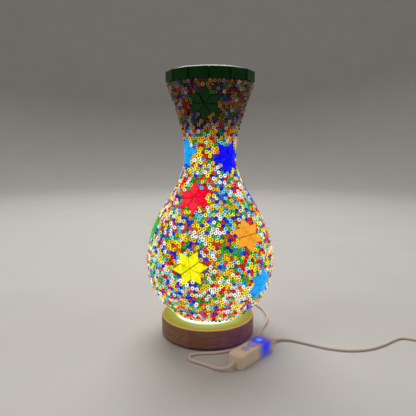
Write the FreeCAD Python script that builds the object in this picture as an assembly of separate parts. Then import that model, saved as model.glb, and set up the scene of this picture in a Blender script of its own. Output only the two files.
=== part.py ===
import FreeCAD, Part
import math
import os
from FreeCAD import Placement, Rotation, Vector

# A vase lamp: a clear glass vase covered with seed beads and six-pointed glass stars stands on a
# turned wooden light base. A thin cord runs from the base through a three-key dimmer to a USB plug.
# Millimetres, +Z up. The origin is on the table, under the axis of the vase.

# ---- wooden light base ---------------------------------------------------------------------------
BASE_X = -2.7            # the vase stands a little off the middle of its base
BASE_RADIUS = 50.0
FOOT_HEIGHT = 2.0
BASE_HEIGHT = 20.0
TOP_Z = FOOT_HEIGHT + BASE_HEIGHT
TOP_ROUND = 2.2
BOTTOM_ROUND = 1.4
COVER_RADIUS = 45.8
COVER_THICK = 2.0
POCKET_RADIUS = 38.0
POCKET_TOP = 16.5
WINDOW_RADIUS = 31.0
DIFFUSER_RADIUS = 34.0
DIFFUSER_THICK = 3.0
FIT = 0.05               # gap round a disc dropped into its recess
COVER_SCREW_RING = 42.0
COVER_SCREW_RADIUS = 1.2
COVER_SCREW_HEAD = 2.3   # radius of the countersunk head
COVER_SCREW_HEAD_DEEP = 1.3
COVER_SCREW_LENGTH = 9.0
PAD_RADIUS = 6.0
PAD_RING = 34.0

# ---- light board ---------------------------------------------------------------------------------
BOARD_RADIUS = 28.0
BOARD_Z = 7.0
BOARD_THICK = 1.6
BOARD_TOP = BOARD_Z + BOARD_THICK
BOSS_RING = 22.0
BOSS_RADIUS = 3.0
BOARD_SCREW_RADIUS = 1.0
BOARD_SCREW_HEAD = 2.0
BOARD_SCREW_HEAD_HIGH = 1.3
BOARD_SCREW_DEEP = 4.4   # reach below the board's face
CHIP = 5.0
CHIP_THICK = 1.4
CHIP_RING = 15.0
CHIPS_ROUND = 8
RESISTOR = (3.2, 1.6, 0.6)
RESISTOR_RING = 8.0

# ---- cord ----------------------------------------------------------------------------------------
CORD = 2.8               # diameter
CORD_R = CORD / 2.0
ARC_SHARE = 0.45         # share of the shorter run that an arc of the cord takes up
LEAD = 1.0               # diameter of the thin wires inside the base and the dimmer
OUTLET_Z = 9.0
SLEEVE_END = 64.0        # the tapered sleeve behind the base ends here
CABLE_IN = 31.0          # the cord ends here inside the base
OUTLET_RADIUS = 3.0      # hole through the back wall, filled by the sleeve's barrel
OUTLET_COLLAR = 4.0      # radius of the collar that holds the sleeve inside
OUTLET_COLLAR_THICK = 1.5
OUTLET_COLLAR_GAP = 0.3
OUTLET_FLANGE = 4.5
OUTLET_FLANGE_THICK = 1.5
SLEEVE_TIP = 2.0         # radius of the sleeve where the cord leaves it
CABLE_TIE = (33.0, 35.4)
CABLE_TIE_LOCK = (4.0, 2.4, 3.0)

# ---- dimmer --------------------------------------------------------------------------------------
CASE_X, CASE_Y, CASE_TURN = 39.9, -61.6, 49.5
CASE_L, CASE_W, CASE_H = 56.5, 16.0, 13.2
CASE_WALL = 1.4
CASE_SPLIT = 6.0
CASE_CORNER = 4.0
CASE_TOP_ROUND = 1.3
CASE_BOTTOM_ROUND = 0.8
POST = 2.0               # square posts under the card
POST_X, POST_Y = 20.0, 3.5
KEYS = {"power": 12.6, "brighter": -1.2, "dimmer": -10.9}   # places along the dimmer
KEY_RADIUS = 4.0
KEY_PROUD = 0.6
KEY_GAP = 0.1            # running gap round a key and round its plunger
FLANGE = 0.6             # the key's hidden flange stands out this far
FLANGE_THICK = 1.0
FLANGE_Z = CASE_H - CASE_WALL - FLANGE_THICK - 0.3
PLUNGER_RADIUS = 1.1
PLUNGER_LOW = 5.4
CARD_Z = 2.8
CARD_THICK = 1.2
CARD_TOP = CARD_Z + CARD_THICK
CARD_L, CARD_W = 46.0, 10.0
SWITCH, SWITCH_H = 4.5, 2.2
CARD_END_PART_X = 17.5   # the control chip and the indicator sit this far from the middle
CONTROL_CHIP = (5.0, 4.0, 1.5)
INDICATOR = (3.2, 2.8, 1.9)
NUB = 3.0                # length of the cord's collar outside the dimmer
NUB_RADIUS, NUB_TIP = 2.5, 1.9
NUB_COLLAR, NUB_COLLAR_THICK = 3.2, 1.5

# ---- coil and plug -------------------------------------------------------------------------------
COIL_X, COIL_Y = 249.8, -18.0
COIL_INNER, COIL_OUTER = 9.8, 21.2
COIL_HEIGHT = 8.0
TIE = 0.7                # thickness of the tie round the coil
TIE_WIDTH = 6.0
TIE_TURN = 205.0
PLUG_X, PLUG_Y = 271.4, 8.5
PLUG_L, PLUG_W, PLUG_H = 22.0, 13.0, 7.0
SHELL_L, SHELL_W, SHELL_H = 13.0, 12.0, 4.5
SHEET = 0.4              # the shell's steel
TONGUE_THICK = 1.7
CONTACT = (1.0, 8.0, 0.2)
CONTACT_X = (-3.5, -1.0, 1.0, 3.5)

# ---- vase ----------------------------------------------------------------------------------------
VASE_Z = TOP_Z + 0.1
GLASS = 2.5              # wall
GLUE = 0.6
BEADS = 2.8              # thickness of the coat of beads
COAT_START_Z = 27.0
RIM_RADIUS = 40.9
RIM_Z = 276.8
NECK_END_Z = 264.0
# radius and height of the glass outside, from just above the foot to the start of the rim band
GLASS_OUTLINE = [(28.5, 23.6), (40.8, 32.6), (56.0, 50.2), (63.7, 82.0), (60.4, 105.5), (50.1, 130.9),
                 (35.5, 154.8), (25.8, 176.5), (23.0, 196.0), (24.4, 210.0), (27.5, 224.0), (32.9, 242.0),
                 (36.9, 253.0), (RIM_RADIUS, NECK_END_Z)]
FOOT_RADIUS = 27.0
FOOT_RING = 5.0
FOOT_HOLLOW = 1.2
FOOT_SLOPE = 2.0         # width of the slope from the foot ring up to the hollow
INNER_FLOOR = [(0.0, 27.0), (20.0, 27.4), (31.0, 30.2)]
WALL_START = 6.0         # the even wall begins this far above the inner floor's edge
OUTLINE_START = (1.0, 0.62)   # direction of the outline at the foot and at the rim band
OUTLINE_END = (0.36, 1.0)
WALL_POINTS = 18         # points that carry an outline over to its offset
COAT_POINTS = 26

# ---- glass tiles ---------------------------------------------------------------------------------
TILE_THICK = 3.0
TILE_EDGE = 0.5          # rounding of a tile's upper edges
RHOMBUS_SIDE = 9.7
TILE_GAP = 0.6           # between the middle of a star and the point of each tile
WINDOW_MARGIN = 0.35     # room left in the beads round each star tile
RIM_TILES = 14
RIM_TILE_W = 18.5
RIM_BAND_Z = (265.3, 275.2)
RIM_SEAM = -1.5          # azimuth of one seam; 0 faces -Y, positive turns towards +X
STEP = 0.5               # step along the surface when a tile's place is walked out
SEAT = 0.03              # glue left under the nearest point of a flat tile
CUT_LOW, CUT_HIGH = -3.0, 9.0   # reach of the tools that clear the beads, below and above the glue

# name, azimuth, height and turn of each star
STARS = [("star_green_top", -8.6, 242.9, 87.0),
         ("star_sky_neck", -72.0, 196.4, 64.0),
         ("star_cobalt_neck", 44.4, 191.2, 9.0),
         ("star_red_shoulder", -23.2, 151.4, 37.5),
         ("star_orange_side", 38.2, 116.6, 35.5),
         ("star_green_side", -81.5, 116.3, 31.0),
         ("star_yellow_front", -17.1, 88.9, 7.8),
         ("star_sky_low", 50.0, 67.2, 21.5),
         ("star_red_top", 118.0, 241.0, 70.0),
         ("star_yellow_top", -128.0, 242.0, 95.0),
         ("star_orange_neck", 165.0, 194.0, 20.0),
         ("star_cobalt_shoulder", 100.0, 150.0, 52.0),
         ("star_green_shoulder", -145.0, 148.0, 12.0),
         ("star_yellow_back", 158.0, 104.0, 40.0),
         ("star_red_side", 112.0, 82.0, 15.0),
         ("star_cobalt_back", -118.0, 86.0, 28.0),
         ("star_orange_low", -165.0, 64.0, 5.0)]

UP = Vector(0, 0, 1)
os.makedirs("parts", exist_ok=True)


# ---- general helpers -----------------------------------------------------------------------------
def save(name, *solids):
    """Write one node: a single solid, or a group of separate ones."""
    shape = solids[0] if len(solids) == 1 else Part.makeCompound(list(solids))
    state = "" if shape.isValid() else "  NOT VALID"
    print(f"{name}: {len(shape.Solids)} solids, {shape.Volume:.1f} mm3{state}")
    shape.exportStep(f"parts/{name}.step")


def rod(radius, start, end):
    """Round rod from one point to another."""
    along = end - start
    return Part.makeCylinder(radius, along.Length, start, along)


def disc(radius, low, high, x=BASE_X, y=0.0):
    return Part.makeCylinder(radius, high - low, Vector(x, y, low))


def block(length, width, height, x=0.0, y=0.0, z=0.0):
    """Box centred on x and y, standing on z."""
    return Part.makeBox(length, width, height, Vector(x - length / 2, y - width / 2, z))


def rounded_block(length, width, low, high, corner):
    """Box with rounded upright edges, centred on the origin."""
    shape = block(length, width, high - low, z=low)
    upright = [e for e in shape.Edges if abs(e.tangentAt(e.FirstParameter).z) > 0.9]
    return shape.makeFillet(corner, upright)


def edges_at(shape, z):
    """Edges that lie flat at one height."""
    return [e for e in shape.Edges if all(abs(v.Z - z) < 1e-6 for v in e.Vertexes)
            and abs(e.BoundBox.ZLength) < 1e-6]


def ring_points(count, radius, z, first=0.0, x=BASE_X):
    """Points round a circle, as vectors."""
    turns = [math.radians(first + 360.0 * i / count) for i in range(count)]
    return [Vector(x + radius * math.cos(a), radius * math.sin(a), z) for a in turns]


def turned(outline, x=0.0):
    """Solid of revolution from (radius, height) points that end in straight lines."""
    points = [Vector(x + r, 0, z) for r, z in outline]
    face = Part.Face(Part.makePolygon(points + [points[0]]))
    return face.revolve(Vector(x, 0, 0), UP, 360)


def tube(name, points, diameter):
    """Cord or wire: straight runs joined by arcs, each as large as its two runs allow."""
    places = [Vector(*p) for p in points]
    edges, radii, here = [], [], places[0]
    for before, corner, after in zip(places, places[1:], places[2:]):
        arriving, leaving = (corner - before), (after - corner)
        half_turn = arriving.getAngle(leaving) / 2.0
        cut = ARC_SHARE * min(arriving.Length, leaving.Length)
        arriving.normalize()
        leaving.normalize()
        first, last = corner - arriving * cut, corner + leaving * cut
        radius = cut / math.tan(half_turn)
        bisector = leaving - arriving
        bisector.normalize()
        middle = corner + bisector * (radius / math.cos(half_turn) - radius)
        edges += [Part.LineSegment(here, first).toShape(), Part.Arc(first, middle, last).toShape()]
        radii.append(radius)
        here = last
    edges.append(Part.LineSegment(here, places[-1]).toShape())
    path = Part.Wire(edges)
    ring = Part.Wire(Part.makeCircle(diameter / 2.0, places[0], places[1] - places[0]))
    solid = path.makePipeShell([ring], True, False)
    expected = path.Length * math.pi * diameter ** 2 / 4.0
    print(f"{name}: length {path.Length:.1f}, radii " + " ".join(f"{r:.1f}" for r in radii)
          + f", volume {solid.Volume:.1f} of {expected:.1f}")
    return solid


# ---- wooden base and what it holds ---------------------------------------------------------------
def cover_screw_at(place):
    """Countersunk screw with its head flush with the cover."""
    head = Part.makeCone(COVER_SCREW_HEAD, COVER_SCREW_RADIUS, COVER_SCREW_HEAD_DEEP, place)
    shank = rod(COVER_SCREW_RADIUS, place, place + UP * COVER_SCREW_LENGTH)
    return head.fuse(shank).removeSplitter()


def make_base():
    diffuser_low = TOP_Z - DIFFUSER_THICK
    outline = [(POCKET_RADIUS, FOOT_HEIGHT + COVER_THICK), (POCKET_RADIUS, POCKET_TOP),
               (WINDOW_RADIUS, POCKET_TOP), (WINDOW_RADIUS, diffuser_low),
               (DIFFUSER_RADIUS + FIT, diffuser_low), (DIFFUSER_RADIUS + FIT, TOP_Z),
               (BASE_RADIUS, TOP_Z), (BASE_RADIUS, FOOT_HEIGHT),
               (COVER_RADIUS + FIT, FOOT_HEIGHT), (COVER_RADIUS + FIT, FOOT_HEIGHT + COVER_THICK)]
    wood = turned(outline, BASE_X)
    rim = [e for e in edges_at(wood, TOP_Z) if abs(e.Curve.Radius - BASE_RADIUS) < 0.01]
    wood = wood.makeFillet(TOP_ROUND, rim)
    foot = [e for e in edges_at(wood, FOOT_HEIGHT) if abs(e.Curve.Radius - BASE_RADIUS) < 0.01]
    wood = wood.makeFillet(BOTTOM_ROUND, foot)
    screws = [cover_screw_at(p) for p in ring_points(4, COVER_SCREW_RING, FOOT_HEIGHT, 45)]
    outlet = rod(OUTLET_RADIUS, Vector(BASE_X, POCKET_RADIUS - 2, OUTLET_Z),
                 Vector(BASE_X, BASE_RADIUS + 5, OUTLET_Z))
    save("wood_base", wood.cut(screws + [outlet]))
    save("diffuser", disc(DIFFUSER_RADIUS, diffuser_low, TOP_Z))

    cover = disc(COVER_RADIUS, FOOT_HEIGHT, FOOT_HEIGHT + COVER_THICK)
    bosses = [disc(BOSS_RADIUS, FOOT_HEIGHT + COVER_THICK, BOARD_Z, p.x, p.y)
              for p in ring_points(3, BOSS_RING, 0, 90)]
    board_screws = []
    for p in ring_points(3, BOSS_RING, BOARD_TOP, 90):
        head = Part.makeCylinder(BOARD_SCREW_HEAD, BOARD_SCREW_HEAD_HIGH, p)
        shank = rod(BOARD_SCREW_RADIUS, p + UP * BOARD_SCREW_HEAD_HIGH / 2, p - UP * BOARD_SCREW_DEEP)
        board_screws.append(head.fuse(shank).removeSplitter())
    save("bottom_cover", cover.fuse(bosses).removeSplitter().cut(screws + board_screws))
    save("cover_screws", *screws)
    save("foot_pads", *[disc(PAD_RADIUS, 0, FOOT_HEIGHT, p.x, p.y)
                        for p in ring_points(4, PAD_RING, 0)])

    save("led_board", disc(BOARD_RADIUS, BOARD_Z, BOARD_TOP).cut(board_screws))
    save("board_screws", *board_screws)
    chips = [block(CHIP, CHIP, CHIP_THICK, p.x, p.y, BOARD_TOP)
             for p in ring_points(CHIPS_ROUND, CHIP_RING, 0, 22.5)]
    chips.append(block(CHIP, CHIP, CHIP_THICK, BASE_X, 0, BOARD_TOP))
    save("led_chips", *chips)
    save("board_resistors", *[block(*RESISTOR, p.x, p.y, BOARD_TOP)
                              for p in ring_points(4, RESISTOR_RING, 0, 45)])


def make_outlet():
    """Strain relief in the back wall, the cord inside it, its tie and the two thin wires."""
    def at(y):
        return Vector(BASE_X, y, OUTLET_Z)

    collar_end, flange_end = POCKET_RADIUS - OUTLET_COLLAR_GAP, BASE_RADIUS + OUTLET_FLANGE_THICK
    collar = rod(OUTLET_COLLAR, at(collar_end - OUTLET_COLLAR_THICK), at(collar_end))
    barrel = rod(OUTLET_RADIUS, at(collar_end), at(BASE_RADIUS))
    flange = rod(OUTLET_FLANGE, at(BASE_RADIUS), at(flange_end))
    taper = Part.makeCone(OUTLET_RADIUS, SLEEVE_TIP, SLEEVE_END - flange_end, at(flange_end),
                          Vector(0, 1, 0))
    cord = rod(CORD_R, at(CABLE_IN), at(SLEEVE_END))
    save("cord_sleeve", collar.fuse([barrel, flange, taper]).removeSplitter().cut(cord))
    save("cord_inside", cord)
    band = rod(CORD_R + 1.0, at(CABLE_TIE[0]), at(CABLE_TIE[1]))
    lock = block(*CABLE_TIE_LOCK, BASE_X, sum(CABLE_TIE) / 2, OUTLET_Z + CORD_R + 0.2)
    save("cable_tie", band.fuse(lock).removeSplitter().cut(cord))
    wires = []
    for side in (-1, 1):
        near, far = BASE_X + side * 0.7, BASE_X + side * 2.6
        route = [(near, CABLE_IN, OUTLET_Z), (near, 29.6, OUTLET_Z), (far, 26.4, 10.6),
                 (far, 24.4, 10.4), (far, 24.4, BOARD_TOP)]
        wires.append(tube("lead_wires", route, LEAD))
    save("lead_wires", *wires)


# ---- dimmer --------------------------------------------------------------------------------------
def on_cord(shape):
    """Move a piece from the dimmer's own frame, +X towards the plug, to its place on the table."""
    shape = shape.copy()
    shape.Placement = Placement(Vector(CASE_X, CASE_Y, 0), Rotation(UP, CASE_TURN)) * shape.Placement
    return shape


def make_dimmer():
    inner_l, inner_w = CASE_L - 2 * CASE_WALL, CASE_W - 2 * CASE_WALL
    inner_corner = CASE_CORNER - CASE_WALL
    holes = [rod(NUB_RADIUS, Vector(s * (CASE_L / 2 - 3), 0, CASE_SPLIT),
                 Vector(s * (CASE_L / 2 + 1), 0, CASE_SPLIT)) for s in (-1, 1)]

    tray = rounded_block(CASE_L, CASE_W, 0, CASE_SPLIT, CASE_CORNER)
    tray = tray.makeFillet(CASE_BOTTOM_ROUND, edges_at(tray, 0))
    tray = tray.cut(rounded_block(inner_l, inner_w, CASE_WALL, CASE_SPLIT, inner_corner))
    posts = [block(POST, POST, CARD_Z - CASE_WALL, x, y, CASE_WALL)
             for x in (-POST_X, POST_X) for y in (-POST_Y, POST_Y)]
    save("switch_case_bottom", on_cord(tray.fuse(posts).removeSplitter().cut(holes)))

    lid = rounded_block(CASE_L, CASE_W, CASE_SPLIT, CASE_H, CASE_CORNER)
    lid = lid.makeFillet(CASE_TOP_ROUND, edges_at(lid, CASE_H))
    lid = lid.cut(rounded_block(inner_l, inner_w, CASE_SPLIT, CASE_H - CASE_WALL, inner_corner))
    wells = [disc(KEY_RADIUS + KEY_GAP, FLANGE_Z, CASE_H + 1, x) for x in KEYS.values()]
    save("switch_case_top", on_cord(lid.cut(wells + holes)))

    save("switch_board", on_cord(block(CARD_L, CARD_W, CARD_THICK, z=CARD_Z)))
    switches = []
    for x in KEYS.values():
        body = block(SWITCH, SWITCH, SWITCH_H, x, 0, CARD_TOP)
        socket = disc(PLUNGER_RADIUS + KEY_GAP, PLUNGER_LOW - 0.5, CARD_TOP + SWITCH_H + 1, x)
        switches.append(on_cord(body.cut(socket)))
    save("tact_switches", *switches)
    save("control_chip", on_cord(block(*CONTROL_CHIP, -CARD_END_PART_X, 0, CARD_TOP)))
    save("indicator_led", on_cord(block(*INDICATOR, CARD_END_PART_X, 0, CARD_TOP)))

    for key, x in KEYS.items():
        flange = disc(KEY_RADIUS + FLANGE, FLANGE_Z, FLANGE_Z + FLANGE_THICK, x)
        button = disc(KEY_RADIUS, FLANGE_Z, CASE_H + KEY_PROUD, x)
        button = button.makeFillet(0.3, edges_at(button, CASE_H + KEY_PROUD))
        save(f"key_{key}", on_cord(button.fuse(flange).removeSplitter()))
        save(f"plunger_{key}", on_cord(disc(PLUNGER_RADIUS, PLUNGER_LOW, FLANGE_Z, x)))

    for end, side in (("in", -1), ("out", 1)):
        def at(x):
            return Vector(side * x, 0, CASE_SPLIT)

        half = CASE_L / 2
        collar = rod(NUB_COLLAR, at(half - CASE_WALL - NUB_COLLAR_THICK), at(half - CASE_WALL))
        barrel = rod(NUB_RADIUS, at(half - CASE_WALL), at(half))
        nub = Part.makeCone(NUB_RADIUS, NUB_TIP, NUB, at(half), Vector(side, 0, 0))
        save(f"switch_sleeve_{end}", on_cord(collar.fuse([barrel, nub]).removeSplitter()))

    leads = []
    for side in (-1, 1):
        for y in (-0.9, 0.9):
            start = side * (CASE_L / 2 - CASE_WALL - NUB_COLLAR_THICK)
            route = [(start, y, CASE_SPLIT), (side * 23.2, y, CASE_SPLIT),
                     (side * 21.6, y, CASE_SPLIT - 0.4), (side * 21.6, y, CARD_TOP)]
            leads.append(on_cord(tube("switch_leads", route, LEAD)))
    save("switch_leads", *leads)


# ---- free cord, coil and plug --------------------------------------------------------------------
def case_end(side, z=CASE_SPLIT):
    """Middle of the collar's face at one end of the dimmer, in the object's frame."""
    turn = math.radians(CASE_TURN)
    reach = side * (CASE_L / 2 + NUB)
    return (CASE_X + reach * math.cos(turn), CASE_Y + reach * math.sin(turn), z)


# from the sleeve behind the base round its right side to the dimmer
LAMP_ROUTE = [(BASE_X, SLEEVE_END, OUTLET_Z), (BASE_X, 70.5, 7.6), (1.0, 79.0, 3.6), (11.0, 87.5, 1.4),
              (26.0, 92.5, 1.4), (42.0, 90.0, 1.4), (55.5, 80.0, 1.4), (64.5, 64.5, 1.4),
              (67.6, 46.5, 1.4), (68.4, 29.0, 1.4), (63.0, 13.5, 1.4), (55.6, -3.4, 1.4),
              (49.4, -20.2, 1.4), (38.6, -36.4, 1.4), (24.2, -48.8, 1.4), (8.2, -54.6, 1.4),
              (-4.0, -55.6, 1.4), (-12.0, -56.2, 1.4), (-17.6, -58.0, 1.4), (-20.6, -62.2, 1.4),
              (-19.8, -67.5, 1.4), (-15.4, -71.4, 1.4), (-8.6, -75.2, 1.4), (-0.8, -80.4, 1.4),
              (4.5, -84.4, 1.6), (9.4, -87.6, 2.6), (13.8, -89.1, 4.0), (17.3, -88.05, 5.2), case_end(-1)]
# from the dimmer along the table to the coil
SUPPLY_ROUTE = [case_end(1), (62.8, -34.8, 5.4), (66.4, -29.6, 3.4), (72.6, -25.9, 1.6),
                (83.0, -25.6, 1.4), (98.0, -33.8, 1.4), (117.0, -45.2, 1.4), (138.5, -50.6, 1.4),
                (159.0, -47.4, 1.4), (177.0, -38.2, 1.4), (191.0, -27.6, 1.4), (203.0, -20.4, 1.4),
                (214.0, -25.6, 1.4), (228.0, -31.9, 1.4), (243.0, -36.6, 1.4)]
# from the coil to the plug
PLUG_ROUTE = [(269.6, -18.0, 1.4), (269.6, -9.5, 1.4), (271.4, -0.6, 2.6), (PLUG_X, PLUG_Y, 3.5)]


def make_cord():
    save("cord_lamp", tube("cord_lamp", LAMP_ROUTE, CORD))
    save("cord_supply", tube("cord_supply", SUPPLY_ROUTE, CORD))
    save("cord_plug_end", tube("cord_plug_end", PLUG_ROUTE, CORD))
    coil = disc(COIL_OUTER, TIE, TIE + COIL_HEIGHT, COIL_X, COIL_Y)
    coil = coil.cut(disc(COIL_INNER, 0, 20, COIL_X, COIL_Y))
    save("cord_coil", coil.makeFillet(2.0, edges_at(coil, TIE + COIL_HEIGHT)))

    low, high = COIL_INNER - 0.6, COIL_OUTER + 0.1
    middle = (low + high) / 2.0
    band = block(high - low + 2 * TIE, TIE_WIDTH, COIL_HEIGHT + 2 * TIE, middle)
    band = band.cut(block(high - low, TIE_WIDTH + 2, COIL_HEIGHT, middle, z=TIE))
    band.Placement = Placement(Vector(COIL_X, COIL_Y, 0), Rotation(UP, TIE_TURN))
    save("coil_tie", band)


def make_plug():
    body = rounded_block(PLUG_W, PLUG_L, 0, PLUG_H, 3.0)
    body = body.makeFillet(1.2, edges_at(body, 0) + edges_at(body, PLUG_H))
    body.translate(Vector(PLUG_X, PLUG_Y + PLUG_L / 2, 0))
    save("usb_body", body)
    front, middle = PLUG_Y + PLUG_L, PLUG_H / 2
    shell_y = front + SHELL_L / 2
    shell = block(SHELL_W, SHELL_L, SHELL_H, PLUG_X, shell_y, middle - SHELL_H / 2)
    tongue_low = middle - SHELL_H / 2 + SHEET
    hollow = block(SHELL_W - 2 * SHEET, SHELL_L, SHELL_H - 2 * SHEET, PLUG_X, shell_y, tongue_low)
    save("usb_shell", shell.cut(hollow))
    tongue_l = SHELL_L - 0.8
    save("usb_tongue", block(SHELL_W - 1.0, tongue_l, TONGUE_THICK, PLUG_X, front + tongue_l / 2,
                             tongue_low))
    save("usb_contacts", *[block(*CONTACT, PLUG_X + x, shell_y, tongue_low + TONGUE_THICK)
                           for x in CONTACT_X])


# ---- vase ----------------------------------------------------------------------------------------
def flat_point(radius, z):
    """Point of an outline, drawn in the X-Z plane."""
    return Vector(radius, 0, z)


def smooth(points, first, last):
    """Spline through points that starts and ends in the given directions."""
    curve = Part.BSplineCurve()
    curve.interpolate(Points=points, InitialTangent=first, FinalTangent=last)
    return curve


def at_height(curve, z):
    """Parameter at which a rising outline reaches a height."""
    low, high = curve.FirstParameter, curve.LastParameter
    for _ in range(40):
        middle = (low + high) / 2.0
        if curve.value(middle).z < z:
            low = middle
        else:
            high = middle
    return middle


def outward(curve, u):
    """Unit normal of an outline, away from the axis."""
    along = curve.tangent(u)[0]
    return Vector(along.z, 0, -along.x)


def offset(curve, distance, start, count=COAT_POINTS):
    """Outline at a constant distance from another, from one parameter to its end."""
    step = (curve.LastParameter - start) / (count - 1.0)
    places = [start + i * step for i in range(count)]
    points = [curve.value(u) + outward(curve, u) * distance for u in places]
    return smooth(points, curve.tangent(places[0])[0], curve.tangent(places[-1])[0])


def band_between(inner, outer, inner_start, top):
    """Ring of revolution between two outlines, carried straight up to a height."""
    a, b = inner.value(inner_start), outer.value(outer.FirstParameter)
    c, d = inner.value(inner.LastParameter), outer.value(outer.LastParameter)
    corners = [c, flat_point(c.x, top), flat_point(d.x, top), d]
    edges = [inner.toShape(inner_start, inner.LastParameter), outer.toShape(),
             Part.LineSegment(a, b).toShape()]
    edges += [Part.LineSegment(p, q).toShape() for p, q in zip(corners, corners[1:])]
    face = Part.Face(Part.Wire(Part.__sortEdges__(edges)))
    return face.revolve(Vector(0, 0, 0), UP, 360)


def make_glass(outline):
    """Clear vase: a foot ring, a body and a neck of one wall, and a rounded lip."""
    lip = GLASS / 2.0
    outer_top, inner_top = flat_point(RIM_RADIUS, RIM_Z - lip), flat_point(RIM_RADIUS - GLASS, RIM_Z - lip)
    start = at_height(outline, INNER_FLOOR[-1][1] + WALL_START)
    wall = offset(outline, -GLASS, start, WALL_POINTS)
    step = (wall.LastParameter - wall.FirstParameter) / (WALL_POINTS - 1.0)
    points = [flat_point(*p) for p in INNER_FLOOR]
    points += [wall.value(wall.FirstParameter + i * step) for i in range(WALL_POINTS)]
    inside = smooth(points, Vector(1, 0, 0), wall.tangent(wall.LastParameter)[0])
    foot_side = outline.value(outline.FirstParameter)
    under = [flat_point(FOOT_RADIUS, VASE_Z), flat_point(FOOT_RADIUS - FOOT_RING, VASE_Z),
             flat_point(FOOT_RADIUS - FOOT_RING - FOOT_SLOPE, VASE_Z + FOOT_HOLLOW),
             flat_point(0, VASE_Z + FOOT_HOLLOW), points[0]]
    corner = flat_point(foot_side.x - 0.25, VASE_Z + 0.45)
    edges = [outline.toShape(), Part.LineSegment(outline.value(outline.LastParameter), outer_top).toShape(),
             Part.Arc(outer_top, flat_point(RIM_RADIUS - lip, RIM_Z), inner_top).toShape(),
             Part.LineSegment(inner_top, inside.value(inside.LastParameter)).toShape(), inside.toShape(),
             Part.Arc(foot_side, corner, under[0]).toShape()]
    edges += [Part.LineSegment(p, q).toShape() for p, q in zip(under, under[1:])]
    face = Part.Face(Part.Wire(Part.__sortEdges__(edges)))
    return face.revolve(Vector(0, 0, 0), UP, 360)


def walk(curve, u, azimuth, heading, distance):
    """Walk straight ahead on the surface that an outline sweeps. Heading 0 runs level, 90 uphill."""
    for _ in range(int(round(distance / STEP))):
        radius, along = curve.value(u).x, curve.tangent(u)[0]
        azimuth += math.cos(heading) / radius * STEP
        heading += along.x / radius * math.cos(heading) * STEP
        u = curve.parameterAtDistance(math.sin(heading) * STEP, u)
    return u, azimuth, heading


def tile_frame(curve, u, azimuth, heading, lift=0.0):
    """Placement on the surface: local X along the heading, local Z outwards."""
    point, along, out = curve.value(u), curve.tangent(u)[0], outward(curve, u)
    spin = Rotation(UP, math.degrees(azimuth) - 90.0)
    level = spin.multVec(Vector(0, 1, 0))
    uphill, out = spin.multVec(along), spin.multVec(out)
    ahead = level * math.cos(heading) + uphill * math.sin(heading)
    return Placement(spin.multVec(point) + out * lift, Rotation(ahead, out.cross(ahead), out, "XZY"))


def rhombus(side, low, high):
    """Prism over a 60 degree rhombus, long diagonal on X."""
    reach, half = side * math.cos(math.radians(30)), side / 2.0
    corners = [Vector(reach, 0, low), Vector(0, half, low), Vector(-reach, 0, low), Vector(0, -half, low)]
    return Part.Face(Part.makePolygon(corners + [corners[0]])).extrude(UP * (high - low))


def hexagon(radius, low, high):
    corners = [Vector(radius * math.cos(math.radians(60 * i)), radius * math.sin(math.radians(60 * i)), low)
               for i in range(7)]
    return Part.Face(Part.makePolygon(corners)).extrude(UP * (high - low))


def seat(curve, frame):
    """How far a flat tile must stand off so that none of its underside cuts the surface."""
    reach, half = RHOMBUS_SIDE * math.cos(math.radians(30)), RHOMBUS_SIDE / 2.0
    deepest = 0.0
    for x, y in [(1, 0), (-1, 0), (0, 1), (0, -1), (0.5, 0.5), (-0.5, 0.5), (0.5, -0.5), (-0.5, -0.5),
                 (0.5, 0), (-0.5, 0)]:
        p = frame.multVec(Vector(x * reach, y * half, 0))
        surface = curve.value(at_height(curve, p.z))
        deepest = max(deepest, surface.x - math.hypot(p.x, p.y))
    return deepest + SEAT


def make_star(curve, azimuth, height, turn):
    """Six rhombus tiles round one point, and the tools that clear the beads round them."""
    u0, azimuth = at_height(curve, height), math.radians(azimuth)
    reach = RHOMBUS_SIDE * math.cos(math.radians(30)) + TILE_GAP
    middle = tile_frame(curve, u0, azimuth, math.radians(turn + 30))
    tiles, tools = [], [hexagon(RHOMBUS_SIDE + TILE_GAP + WINDOW_MARGIN, CUT_LOW, CUT_HIGH)]
    tools[0].Placement = middle
    for i in range(6):
        u, a, heading = walk(curve, u0, azimuth, math.radians(turn + 60 * i), reach)
        frame = tile_frame(curve, u, a, heading)
        frame = tile_frame(curve, u, a, heading, seat(curve, frame))
        tile = rhombus(RHOMBUS_SIDE, 0, TILE_THICK)
        tile = tile.makeFillet(TILE_EDGE, edges_at(tile, TILE_THICK))
        tool = rhombus(RHOMBUS_SIDE + 2 * WINDOW_MARGIN, CUT_LOW, CUT_HIGH)
        tile.Placement = frame
        tool.Placement = frame
        tiles.append(tile)
        tools.append(tool)
    return tiles, tools


def make_rim_tiles():
    """Flat tiles side by side round the straight part of the rim."""
    radius = RIM_RADIUS + GLUE + SEAT
    low, high = RIM_BAND_Z
    for i in range(RIM_TILES):
        azimuth = RIM_SEAM + 360.0 / RIM_TILES * (i + 0.5)
        tile = Part.makeBox(TILE_THICK, RIM_TILE_W, high - low, Vector(radius, -RIM_TILE_W / 2, low))
        face = [e for e in tile.Edges if all(abs(v.X - radius - TILE_THICK) < 1e-6 for v in e.Vertexes)]
        tile = tile.makeFillet(TILE_EDGE, face)
        tile.rotate(Vector(0, 0, 0), UP, azimuth - 90.0)
        yield tile


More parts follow.
